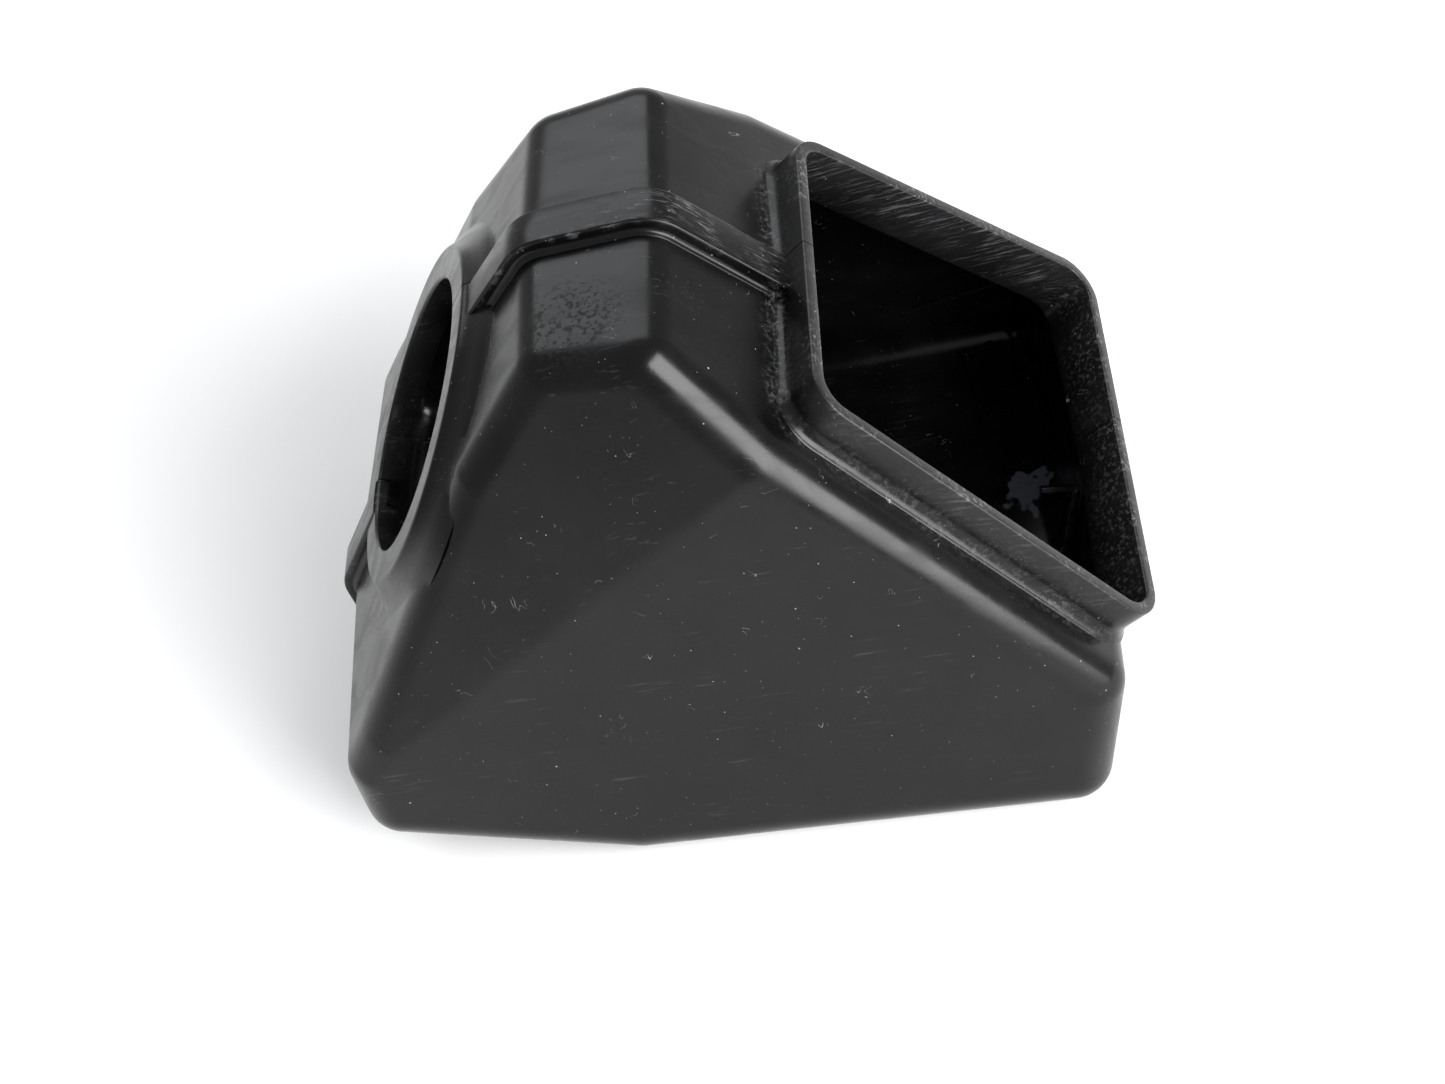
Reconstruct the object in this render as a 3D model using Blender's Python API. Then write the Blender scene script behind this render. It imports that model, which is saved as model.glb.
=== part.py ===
"""Air filter housing: two moulded half shells, lapped and cemented along one seam.

Metres, +Z up.  The origin is the middle of the flat base.  X runs along the side faces
towards the mouth, and Y across them: the near shell lies at -Y and the far shell at +Y.
Every shell is a block cut by planes, with its edges rounded; the chamber is the same
block with its planes moved in by the wall's thickness.
"""

import math
from itertools import combinations

import bmesh
import bpy
from mathutils import Matrix, Vector

# ---- driving dimensions ------------------------------------------------------------

WALL = 0.003                # moulded wall
JOINT_GAP = 0.0003          # clearance between pieces that touch
LAP_GAP = 0.0004            # between the lap lip and what it closes over
DRAFT = math.radians(2.0)   # walls narrow towards the side faces; the base doesn't

# Outline of the walls at the middle plane, seen from the near side
BASE_LENGTH = 0.115
HEEL_LENGTH = 0.0535        # raised stretch left of the base
HEEL_RISE = 0.014
PORT_WALL_FOOT = 0.037      # height where the leaning port wall starts
PORT_WALL_HEIGHT = 0.070    # its rise
PORT_WALL_LEAN = math.radians(34.3)
SHOULDER_HEIGHT = 0.024     # rise of the facet between port wall and top
SHOULDER_LEAN = math.radians(41.9)
TOP_LENGTH = 0.026
TOP_RISE = 0.0015
SLOPE_ANGLE = math.radians(50.4)
SLOPE_LENGTH = 0.1253       # the wall that carries the mouth

# Side faces: an upper face and a lower face that meet at a shallow crease
UPPER_FACE_DEPTH = 0.0368   # from the middle plane, at the top of the slope
UPPER_FACE_TILT = math.radians(21.3)
UPPER_FACE_TURN = math.radians(-8.8)
LOWER_FACE_DEPTH = 0.0645   # from the middle plane, at the foot of the slope
LOWER_FACE_TILT = math.radians(11.2)
LOWER_FACE_TURN = math.radians(-1.3)
FAR_EXTRA_DEPTH = 0.005     # the far shell is this much deeper
EDGE_RADIUS = 0.009

# Lap joint: the near shell's raised lip closes over the far shell's edge
LIP_REACH = 0.0047          # each side of the middle plane
LIP_THICKNESS = 0.0025
LIP_ROOT = 0.0017           # stretch where lip and near wall are one

# Mouth: a trapezium, narrow at the top, inside a raised collar
MOUTH_START = 0.0318        # along the slope, from the top
COLLAR_LENGTH = 0.0935
COLLAR_WIDTH_TOP = 0.0744
COLLAR_WIDTH_FOOT = 0.1046
COLLAR_HEIGHT = 0.008
COLLAR_WALL = 0.0028
COLLAR_RADIUS = 0.006
NOTCH_WIDTH = 0.002         # gap left where the two halves of the collar meet at its foot
NOTCH_DEPTH = 0.0035

# Round port on a low boss
PORT_RADIUS = 0.030
PORT_HEIGHT = 0.0585        # of its axis, along the port wall from its foot
BOSS_RING = 0.008           # width of the flat ring round the port
BOSS_HEIGHT = 0.0025
BOSS_FLARE = 0.005
BOSS_SIDES = 64
PORT_SIDES = 60

# Small features of the far shell
FIXING_HOLE_RADIUS = 0.00325
FIXING_HOLE_X = -0.0925
FIXING_HOLE_Z = 0.0515
RIB_LENGTH = 0.0305         # a low straight rib on the lower face, inside
RIB_HEIGHT = 0.0012
RIB_WIDTH = 0.001
RIB_X = 0.0375
RIB_Z = 0.0235
RIB_ANGLE = math.radians(13.5)
PEG_RADIUS = 0.0013         # two pegs on the floor
PEG_HEIGHT = 0.0022
PEG_PLACES = ((0.0373, 0.0655), (0.0436, 0.0668))
PEG_SIDES = 20
GATE_RADIUS = 0.0016        # the stub left by the moulding gate, on the wall under the slope
GATE_LENGTH = 0.005
GATE_Y = 0.0145
GATE_Z = 0.0065

# Cement bead along the inside of the joint
BEAD_RADIUS = 0.0011
BEAD_MARGIN = 0.003         # left free at the port's edge and at the mouth
BEAD_START_BELOW = 0.15     # share of the wall under the mouth left free

BLANK = 0.6                 # side of the uncut block
ROUND_STEPS = 5             # facets across a round edge
FLAT_ANGLE = 0.0005         # faces closer than this are one flat face
MERGE = 1e-6
REACH = 0.05                # how far cutters run past what they cut
PORT_CUT = 0.016            # half the length of the port's cutter
SINK = 0.004                # how far added features start below a wall's surface

# ---- scene and materials -----------------------------------------------------------

for old in list(bpy.data.objects):
    bpy.data.objects.remove(old, do_unlink=True)


def new_collection(name):
    collection = bpy.data.collections.new(name)
    bpy.context.scene.collection.children.link(collection)
    return collection


PARTS = new_collection("air_filter_housing")
CUTTERS = new_collection("cutters")


def plastic(name, colour, roughness):
    material = bpy.data.materials.new(name)
    material.use_nodes = True
    shader = material.node_tree.nodes["Principled BSDF"]
    shader.inputs["Base Color"].default_value = (*colour, 1.0)
    shader.inputs["Roughness"].default_value = roughness
    shader.inputs["Metallic"].default_value = 0.0
    return material


# ---- blocks cut by planes ----------------------------------------------------------
# A plane is a pair: its outward unit normal, and its distance from the origin.


def plane_through(point, normal):
    normal = Vector(normal).normalized()
    return normal, normal.dot(Vector(point))


def moved(plane, distance):
    return plane[0], plane[1] + distance


def box_face(axis, distance):
    """The plane at a distance along an axis, facing the way the axis points."""
    return Vector(axis), distance


def add_mesh(name, bm, collection, material=None):
    mesh = bpy.data.meshes.new(name)
    bm.to_mesh(mesh)
    bm.free()
    piece = bpy.data.objects.new(name, mesh)
    collection.objects.link(piece)
    if material:
        mesh.materials.append(material)
    if collection is CUTTERS:
        piece.hide_render = True
        piece.display_type = "WIRE"
    return piece


def cut(bm, plane):
    """Cut away what lies past a plane, and close the cut."""
    normal, distance = plane
    cuts = bmesh.ops.bisect_plane(
        bm,
        geom=bm.verts[:] + bm.edges[:] + bm.faces[:],
        plane_co=normal * distance,
        plane_no=normal,
        clear_outer=True,
    )
    rim = [part for part in cuts["geom_cut"] if isinstance(part, bmesh.types.BMEdge)]
    bmesh.ops.contextual_create(bm, geom=rim)


def cut_block(planes):
    bm = bmesh.new()
    bmesh.ops.create_cube(bm, size=BLANK)
    for plane in planes:
        cut(bm, plane)
    bmesh.ops.recalc_face_normals(bm, faces=bm.faces)
    return bm


def corner_directions(normals):
    """Unit directions spread over the round corner between the faces that meet there."""
    directions = []
    for trio in combinations(normals, 3):
        for first in range(ROUND_STEPS + 1):
            for second in range(ROUND_STEPS + 1 - first):
                third = ROUND_STEPS - first - second
                blend = trio[0] * first + trio[1] * second + trio[2] * third
                directions.append(blend.normalized())
    return directions


def rounded_block(name, core_planes, radius, collection, trims=(), material=None):
    """The block inside the core planes, grown all round by a radius, then trimmed flat."""
    core = cut_block(core_planes)
    bm = bmesh.new()
    for corner in core.verts:
        normals = [face.normal.copy() for face in corner.link_faces]
        for direction in corner_directions(normals):
            bm.verts.new(corner.co + direction * radius)
    core.free()
    bmesh.ops.remove_doubles(bm, verts=bm.verts, dist=MERGE)
    hull = bmesh.ops.convex_hull(bm, input=bm.verts)
    unused = [part for part in hull["geom_interior"] if isinstance(part, bmesh.types.BMVert)]
    bmesh.ops.delete(bm, geom=unused, context="VERTS")
    bmesh.ops.dissolve_limit(bm, angle_limit=FLAT_ANGLE, verts=bm.verts, edges=bm.edges)
    for plane in trims:
        cut(bm, plane)
    return add_mesh(name, bm, collection, material)


def boolean(piece, cutter, operation):
    step = piece.modifiers.new(f"{operation.lower()} {cutter.name}", "BOOLEAN")
    step.operation = operation
    step.solver = "EXACT"
    step.object = cutter


# ---- outline -----------------------------------------------------------------------


def step_from(point, angle_from_up, length):
    """The point a length away, at an angle from straight up towards +X."""
    return point[0] + length * math.sin(angle_from_up), point[1] + length * math.cos(angle_from_up)


base_left = (-BASE_LENGTH / 2, 0.0)
heel = (base_left[0] - HEEL_LENGTH, HEEL_RISE)
port_wall_foot = (heel[0], PORT_WALL_FOOT)
shoulder_foot = step_from(port_wall_foot, PORT_WALL_LEAN, PORT_WALL_HEIGHT / math.cos(PORT_WALL_LEAN))
top_left = step_from(shoulder_foot, SHOULDER_LEAN, SHOULDER_HEIGHT / math.cos(SHOULDER_LEAN))
top_right = (top_left[0] + TOP_LENGTH, top_left[1] + TOP_RISE)
slope_foot = step_from(top_right, math.pi / 2 + SLOPE_ANGLE, SLOPE_LENGTH)
base_right = (BASE_LENGTH / 2, 0.0)
OUTLINE = (base_left, heel, port_wall_foot, shoulder_foot, top_left, top_right, slope_foot, base_right)

PORT_AXIS = Vector((-math.cos(PORT_WALL_LEAN), 0.0, math.sin(PORT_WALL_LEAN)))
SLOPE_DOWN = Vector((math.cos(SLOPE_ANGLE), 0.0, -math.sin(SLOPE_ANGLE)))
SLOPE_OUT = Vector((math.sin(SLOPE_ANGLE), 0.0, math.cos(SLOPE_ANGLE)))
ACROSS = Vector((0.0, 1.0, 0.0))
UP = Vector((0.0, 0.0, 1.0))


def wall_planes(side, draft, offset=0.0):
    """The outline's walls as planes; side is -1 for the near shell and 1 for the far one."""
    planes = []
    for start, end in zip(OUTLINE, OUTLINE[1:] + OUTLINE[:1]):
        run = Vector((end[0] - start[0], 0.0, end[1] - start[1]))
        outward = Vector((-run.z, 0.0, run.x)).normalized()
        is_base = start[1] == 0.0 and end[1] == 0.0
        if not is_base:
            outward = outward * math.cos(draft) + ACROSS * side * math.sin(draft)
        plane = plane_through((start[0], 0.0, start[1]), outward)
        planes.append(moved(plane, offset))
    return planes


def face_plane(side, point, depth, turn, tilt, offset=0.0):
    normal = Vector((math.sin(turn), side * math.cos(turn), 0.0)) * math.cos(tilt) + UP * math.sin(tilt)
    return moved(plane_through((point[0], side * depth, point[1]), normal), offset)


def side_faces(side, offset=0.0):
    extra = FAR_EXTRA_DEPTH if side > 0 else 0.0
    return [
        face_plane(side, top_right, UPPER_FACE_DEPTH + extra, UPPER_FACE_TURN, UPPER_FACE_TILT, offset),
        face_plane(side, slope_foot, LOWER_FACE_DEPTH + extra, LOWER_FACE_TURN, LOWER_FACE_TILT, offset),
    ]


# ---- mouth and collar --------------------------------------------------------------

mouth_top = Vector((top_right[0], 0.0, top_right[1])) + SLOPE_DOWN * MOUTH_START
mouth_foot = mouth_top + SLOPE_DOWN * COLLAR_LENGTH


def mouth_planes(inset, low, high):
    """The collar's four sides, set in, between two heights over the slope wall."""
    planes = [
        moved(plane_through(mouth_top, -SLOPE_DOWN), -inset),
        moved(plane_through(mouth_foot, SLOPE_DOWN), -inset),
        moved(plane_through(mouth_top, SLOPE_OUT), high),
        moved(plane_through(mouth_top, -SLOPE_OUT), -low),
    ]
    for side in (-1, 1):
        top = mouth_top + ACROSS * side * COLLAR_WIDTH_TOP / 2
        foot = mouth_foot + ACROSS * side * COLLAR_WIDTH_FOOT / 2
        outward = (foot - top).cross(SLOPE_OUT) * -side
        planes.append(moved(plane_through(top, outward), -inset))
    return planes


# ---- shells ------------------------------------------------------------------------

near_edge = -LIP_REACH + LIP_ROOT               # where the near wall ends
far_edge = near_edge + JOINT_GAP                # where the far wall starts
lip_end = LIP_REACH - JOINT_GAP / 2             # where the lip ends
far_start = LIP_REACH + JOINT_GAP / 2           # where the far collar and boss start
wall_ends = {-1: near_edge, 1: far_edge}
feature_ends = {-1: lip_end, 1: far_start}
boss_radius = PORT_RADIUS + BOSS_RING


def parting(side, y):
    """The face that closes a half at a place along Y."""
    return box_face(-ACROSS * side, -side * y)


def boss_block(side):
    """Half of the port's boss: a low cone on the port wall, cut at the seam."""
    bm = bmesh.new()
    bmesh.ops.create_cone(
        bm,
        cap_ends=True,
        segments=BOSS_SIDES,
        radius1=boss_radius + BOSS_FLARE,
        radius2=boss_radius,
        depth=BOSS_HEIGHT + SINK,
        matrix=port_matrix(-(BOSS_HEIGHT + SINK) / 2),
    )
    cut(bm, parting(side, feature_ends[side]))
    return add_mesh(f"boss {side}", bm, CUTTERS)


port_centre = (
    Vector((port_wall_foot[0], 0.0, port_wall_foot[1]))
    + Vector((math.sin(PORT_WALL_LEAN), 0.0, math.cos(PORT_WALL_LEAN))) * PORT_HEIGHT
    + PORT_AXIS * BOSS_HEIGHT
)


def port_matrix(along_axis):
    turn = PORT_AXIS.to_track_quat("Z", "Y").to_matrix().to_4x4()
    return Matrix.Translation(port_centre + PORT_AXIS * along_axis) @ turn


def port_cutter():
    bm = bmesh.new()
    bmesh.ops.create_cone(
        bm,
        cap_ends=True,
        segments=PORT_SIDES,
        radius1=PORT_RADIUS,
        radius2=PORT_RADIUS,
        depth=2 * PORT_CUT,
        matrix=port_matrix(0.0),
    )
    return add_mesh("port", bm, CUTTERS)


def collar_block(side):
    """Half of the collar's outside: a prism over the slope wall, round at its corners."""
    core = mouth_planes(COLLAR_RADIUS + COLLAR_WALL, -BLANK / 4, BLANK / 4) + [parting(side, -side * REACH)]
    trims = [
        moved(plane_through(mouth_top, SLOPE_OUT), COLLAR_HEIGHT),
        moved(plane_through(mouth_top, -SLOPE_OUT), SINK),
        parting(side, feature_ends[side]),
    ]
    return rounded_block(f"collar {side}", core, COLLAR_RADIUS + COLLAR_WALL, CUTTERS, trims)


def mouth_cutter():
    core = mouth_planes(COLLAR_RADIUS + COLLAR_WALL, -BLANK / 4, BLANK / 4)
    trims = [
        moved(plane_through(mouth_top, SLOPE_OUT), REACH),
        moved(plane_through(mouth_top, -SLOPE_OUT), 2 * SINK),
    ]
    return rounded_block("mouth", core, COLLAR_RADIUS, CUTTERS, trims)


def core_planes(side, draft):
    """The middle of a half's block, set in by the edge radius and open past the seam."""
    planes = wall_planes(side, draft, -EDGE_RADIUS) + side_faces(side, -EDGE_RADIUS)
    return planes + [parting(side, -side * REACH)]


def chamber(side):
    """The hollow of one half, run out past the parting plane."""
    trims = [parting(side, -side * REACH / 2)]
    return rounded_block(f"chamber {side}", core_planes(side, DRAFT), EDGE_RADIUS - WALL, CUTTERS, trims)


def shell_body(name, side, material):
    trims = [parting(side, wall_ends[side])]
    return rounded_block(name, core_planes(side, DRAFT), EDGE_RADIUS, PARTS, trims, material)


mouth_hole = mouth_cutter()
port_hole = port_cutter()


def open_up(shell, side):
    """Hollow a shell, and cut the mouth and the port."""
    boolean(shell, collar_block(side), "UNION")
    boolean(shell, boss_block(side), "UNION")
    boolean(shell, port_hole, "DIFFERENCE")
    boolean(shell, chamber(side), "DIFFERENCE")
    boolean(shell, mouth_hole, "DIFFERENCE")


def make_near_shell():
    shell = shell_body("near_shell", -1, plastic("near_black_plastic", (0.018, 0.018, 0.020), 0.32))
    band_core = wall_planes(-1, 0.0, -EDGE_RADIUS) + [box_face(ACROSS, REACH), box_face(-ACROSS, REACH)]
    lip_trims = [box_face(ACROSS, lip_end), box_face(-ACROSS, LIP_REACH), box_face(-UP, 0.0)]
    lip = rounded_block("lip", band_core, EDGE_RADIUS + LAP_GAP + LIP_THICKNESS, CUTTERS, lip_trims)
    boolean(shell, lip, "UNION")
    open_up(shell, -1)
    tongue_trims = [box_face(ACROSS, REACH / 2), box_face(-ACROSS, -near_edge)]
    tongue = rounded_block("tongue room", band_core, EDGE_RADIUS + LAP_GAP, CUTTERS, tongue_trims)
    boolean(shell, tongue, "DIFFERENCE")
    return shell


# ---- small features of the far shell -----------------------------------------------


def rod(name, foot, direction, radius, length, sides=PEG_SIDES):
    """A round rod from its foot along a direction, sunk into the wall it stands on."""
    bm = bmesh.new()
    turn = direction.to_track_quat("Z", "Y").to_matrix().to_4x4()
    middle = foot + direction * (length - WALL / 2) / 2
    bmesh.ops.create_cone(
        bm,
        cap_ends=True,
        segments=sides,
        radius1=radius,
        radius2=radius,
        depth=length + WALL / 2,
        matrix=Matrix.Translation(middle) @ turn,
    )
    return add_mesh(name, bm, CUTTERS)


def point_on(plane, x, z):
    """The point of a plane at a place in the outline's view."""
    normal, distance = plane
    return Vector((x, (distance - normal.x * x - normal.z * z) / normal.y, z))


def rib():
    inner = side_faces(1, -WALL)[1]
    normal = inner[0]
    run = Vector((math.cos(RIB_ANGLE), 0.0, math.sin(RIB_ANGLE)))
    run = (run - normal * run.dot(normal)).normalized()
    across = run.cross(normal)
    centre = point_on(inner, RIB_X, RIB_Z)
    planes = [
        moved(plane_through(centre, run), RIB_LENGTH / 2),
        moved(plane_through(centre, -run), RIB_LENGTH / 2),
        moved(plane_through(centre, across), RIB_WIDTH / 2),
        moved(plane_through(centre, -across), RIB_WIDTH / 2),
        moved(plane_through(centre, -normal), RIB_HEIGHT),
        moved(plane_through(centre, normal), WALL / 2),
    ]
    return add_mesh("rib", cut_block(planes), CUTTERS)


def gate_stub():
    run = Vector((slope_foot[0] - base_right[0], 0.0, slope_foot[1]))
    inward = Vector((-run.z, 0.0, run.x)).normalized()
    wall = plane_through((base_right[0], 0.0, 0.0), -inward)
    x = (wall[1] - WALL - wall[0].z * GATE_Z) / wall[0].x
    return rod("gate stub", Vector((x, GATE_Y, GATE_Z)), inward, GATE_RADIUS, GATE_LENGTH)


def fixing_hole():
    outer = side_faces(1)[0]
    foot = point_on(outer, FIXING_HOLE_X, FIXING_HOLE_Z) - outer[0] * 2 * WALL
    return rod("fixing hole", foot, outer[0], FIXING_HOLE_RADIUS, 4 * WALL)


def seam_notch():
    """The gap left at the rim where the halves of the collar meet at its foot."""
    planes = [
        moved(plane_through(mouth_foot, SLOPE_DOWN), JOINT_GAP),
        moved(plane_through(mouth_foot, -SLOPE_DOWN), COLLAR_WALL + JOINT_GAP),
        moved(plane_through(mouth_foot, SLOPE_OUT), COLLAR_HEIGHT + JOINT_GAP),
        moved(plane_through(mouth_foot, -SLOPE_OUT), -COLLAR_HEIGHT + NOTCH_DEPTH),
        box_face(ACROSS, far_start + NOTCH_WIDTH),
        box_face(-ACROSS, -lip_end),
    ]
    return add_mesh("seam notch", cut_block(planes), CUTTERS)


def make_far_shell():
    shell = shell_body("far_shell", 1, plastic("far_black_plastic", (0.020, 0.020, 0.022), 0.34))
    open_up(shell, 1)
    boolean(shell, rib(), "UNION")
    for number, (x, y) in enumerate(PEG_PLACES):
        boolean(shell, rod(f"peg {number}", Vector((x, y, WALL)), UP, PEG_RADIUS, PEG_HEIGHT), "UNION")
    boolean(shell, gate_stub(), "UNION")
    boolean(shell, fixing_hole(), "DIFFERENCE")
    boolean(shell, seam_notch(), "DIFFERENCE")
    return shell


# ---- cement beads ------------------------------------------------------------------


def inner_corners(offset):
    """The outline's corners, set in by an offset."""
    lines = [moved(plane, -offset) for plane in wall_planes(-1, 0.0)]
    corners = []
    for before, after in zip(lines[-1:] + lines[:-1], lines):
        span = before[0].x * after[0].z - before[0].z * after[0].x
        x = (before[1] * after[0].z - before[0].z * after[1]) / span
        z = (before[0].x * after[1] - before[1] * after[0].x) / span
        corners.append(Vector((x, z)))
    return corners


def rounded_run(points, radius):
    """A path through points whose middle ones are rounded with arcs."""
    path = [points[0]]
    for before, corner, after in zip(points, points[1:], points[2:]):
        back = (before - corner).normalized()
        ahead = (after - corner).normalized()
        half = back.angle(ahead) / 2
        reach = radius / math.tan(half)
        centre = corner + (back + ahead).normalized() * radius / math.sin(half)
        start = corner + back * reach - centre
        end = corner + ahead * reach - centre
        for step in range(ROUND_STEPS + 1):
            blend = start.lerp(end, step / ROUND_STEPS).normalized()
            path.append(centre + blend * radius)
    path.append(points[-1])
    return path


def make_bead(name, points):
    """A round bead in the inner corner of the joint, along a path in the seam's plane."""
    curve = bpy.data.curves.new(name, "CURVE")
    curve.dimensions = "3D"
    curve.bevel_depth = BEAD_RADIUS
    curve.bevel_resolution = 1
    curve.use_fill_caps = True
    spline = curve.splines.new("POLY")
    path = rounded_run(points, EDGE_RADIUS - bead_offset)
    spline.points.add(len(path) - 1)
    for place, point in zip(spline.points, path):
        place.co = (point.x, near_edge + JOINT_GAP / 2, point.y, 1.0)
    curve.materials.append(plastic(f"{name}_cement", (0.03, 0.03, 0.032), 0.45))
    bead = bpy.data.objects.new(name, curve)
    PARTS.objects.link(bead)
    return bead


def flat(vector):
    """A point in the outline's own two directions."""
    return Vector((vector.x, vector.z))


def make_beads():
    corners = inner_corners(bead_offset)
    port_up = Vector((math.sin(PORT_WALL_LEAN), math.cos(PORT_WALL_LEAN)))
    port_line = flat(port_centre) - flat(PORT_AXIS) * (BOSS_HEIGHT + bead_offset)
    clear = PORT_RADIUS + BEAD_MARGIN
    past_wall = PORT_HEIGHT + clear - PORT_WALL_HEIGHT / math.cos(PORT_WALL_LEAN)
    shoulder = (corners[4] - corners[3]).normalized()
    above_port = corners[3] + shoulder * max(past_wall, BEAD_MARGIN)
    above_mouth = Vector(top_right) + flat(SLOPE_DOWN) * (MOUTH_START - BEAD_MARGIN)
    above_mouth -= flat(SLOPE_OUT) * bead_offset
    below_mouth = corners[6].lerp(corners[7], BEAD_START_BELOW)
    make_bead("top_seam_bead", [above_port] + corners[4:6] + [above_mouth])
    make_bead("bottom_seam_bead", [below_mouth, corners[7]] + corners[0:3] + [port_line - port_up * clear])


bead_offset = WALL + JOINT_GAP + BEAD_RADIUS
make_near_shell()
make_far_shell()
make_beads()
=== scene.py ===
"""Air filter housing in black moulded plastic: two half shells joined at a lapped seam."""

import math

import bmesh
import bpy
import numpy as np
from mathutils import Matrix, Vector


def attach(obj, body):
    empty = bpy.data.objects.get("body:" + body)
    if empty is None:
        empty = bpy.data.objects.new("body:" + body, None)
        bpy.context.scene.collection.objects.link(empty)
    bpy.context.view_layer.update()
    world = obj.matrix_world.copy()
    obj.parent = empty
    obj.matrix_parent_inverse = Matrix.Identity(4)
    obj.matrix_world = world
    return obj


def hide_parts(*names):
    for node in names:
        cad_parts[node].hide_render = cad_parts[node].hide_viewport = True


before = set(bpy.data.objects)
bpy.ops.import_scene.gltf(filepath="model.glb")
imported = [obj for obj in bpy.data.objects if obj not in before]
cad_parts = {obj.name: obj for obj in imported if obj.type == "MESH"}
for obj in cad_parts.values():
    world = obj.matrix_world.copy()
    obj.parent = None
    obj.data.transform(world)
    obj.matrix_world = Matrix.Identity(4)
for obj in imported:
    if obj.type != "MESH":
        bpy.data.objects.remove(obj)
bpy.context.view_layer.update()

# ---- The chamber's walls -----------------------------------------------------------
# The housing is a tapered faceted chamber of injection-moulded black plastic, 3 mm thick.
# Each half is drawn out of its mould sideways, so its walls lean in by two degrees, and
# every edge is rounded.

WALL = 0.003
EDGE_RADIUS = 0.009
DRAFT = math.radians(2.0)
SEAM = {-1: -0.0030, 1: -0.0027}            # where each half's wall ends, along Y
OUTLINE = np.array([
    (-0.0575, 0.0), (-0.1110, 0.0140), (-0.1110, 0.0370), (-0.06325, 0.1070),
    (-0.04172, 0.1310), (-0.01572, 0.1325), (0.06415, 0.03595), (0.0575, 0.0),
])
FACES = (                                   # point, depth, turn and tilt of each side face
    ((-0.01572, 0.1325), 0.0368, math.radians(-8.8), math.radians(21.3)),
    ((0.06415, 0.03595), 0.0645, math.radians(-1.3), math.radians(11.2)),
)
FAR_EXTRA = 0.005                           # the far half is this much deeper
CENTRE = np.array([-0.020, 0.0, 0.055])


def unit(v):
    """Each vector divided by its own length."""
    return v / np.linalg.norm(v, axis=-1, keepdims=True)


def wall_planes(side, draft):
    """Normals and distances of the outline's walls, leaning in by the draft angle."""
    start = OUTLINE
    run = np.roll(OUTLINE, -1, axis=0) - OUTLINE
    flat = unit(np.stack([-run[:, 1], 0 * run[:, 0], run[:, 0]], 1))
    lean = np.full(len(run), draft)
    lean[-1] = 0.0                          # the flat base has no draft
    normal = flat * np.cos(lean)[:, None]
    normal[:, 1] += side * np.sin(lean)
    place = np.stack([start[:, 0], 0 * start[:, 0], start[:, 1]], 1)
    return normal, (normal * place).sum(1)


def face_planes(side):
    """Normals and distances of the two planes that make a side face."""
    normals, distances = [], []
    for (x, z), depth, turn, tilt in FACES:
        normal = np.array([
            math.sin(turn) * math.cos(tilt),
            side * math.cos(turn) * math.cos(tilt),
            math.sin(tilt),
        ])
        reach = depth + (FAR_EXTRA if side > 0 else 0.0)
        normals.append(normal)
        distances.append(normal @ np.array([x, side * reach, z]))
    return np.array(normals), np.array(distances)


def nearest_in_core(points, normals, distances, sweeps=90):
    """The nearest point of the block inside the planes, for every point at once.

    Each point is moved onto each plane it lies past, in turn, over and over.  What a plane
    moved it by the last time is given back first, so it settles at the nearest point.
    """
    at = points.copy()
    given = np.zeros((len(normals), len(points)))
    for _ in range(sweeps):
        for i, (normal, distance) in enumerate(zip(normals, distances)):
            back = at + given[i][:, None] * normal
            given[i] = np.maximum(back @ normal - distance, 0.0)
            at = back - given[i][:, None] * normal
    return at


def round_skin(points, side, radius):
    """Points of the rounded block: nearest point of the block set in by the edge radius,
    plus the radius along the way out to the given point."""
    wall_n, wall_d = wall_planes(side, DRAFT)
    face_n, face_d = face_planes(side)
    normals = np.vstack([wall_n, face_n])
    distances = np.concatenate([wall_d, face_d]) - EDGE_RADIUS
    core = nearest_in_core(points.reshape(-1, 3), normals, distances)
    out = unit(points.reshape(-1, 3) - core)
    return (core + radius * out).reshape(points.shape)


def outline_steps(count):
    """Points at even steps round the outline, with more of them towards its corners."""
    closed = np.vstack([OUTLINE, OUTLINE[:1]])
    length = np.linalg.norm(np.diff(closed, axis=0), axis=1)
    share = np.maximum((count * length / length.sum()).astype(int), 10)
    rows = []
    for a, b, n in zip(closed, closed[1:], share):
        even = np.arange(n) / n
        t = even - 0.6 * np.sin(2 * np.pi * even) / (2 * np.pi)
        rows.append(a + (b - a) * t[:, None])
    return np.vstack(rows)


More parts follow.
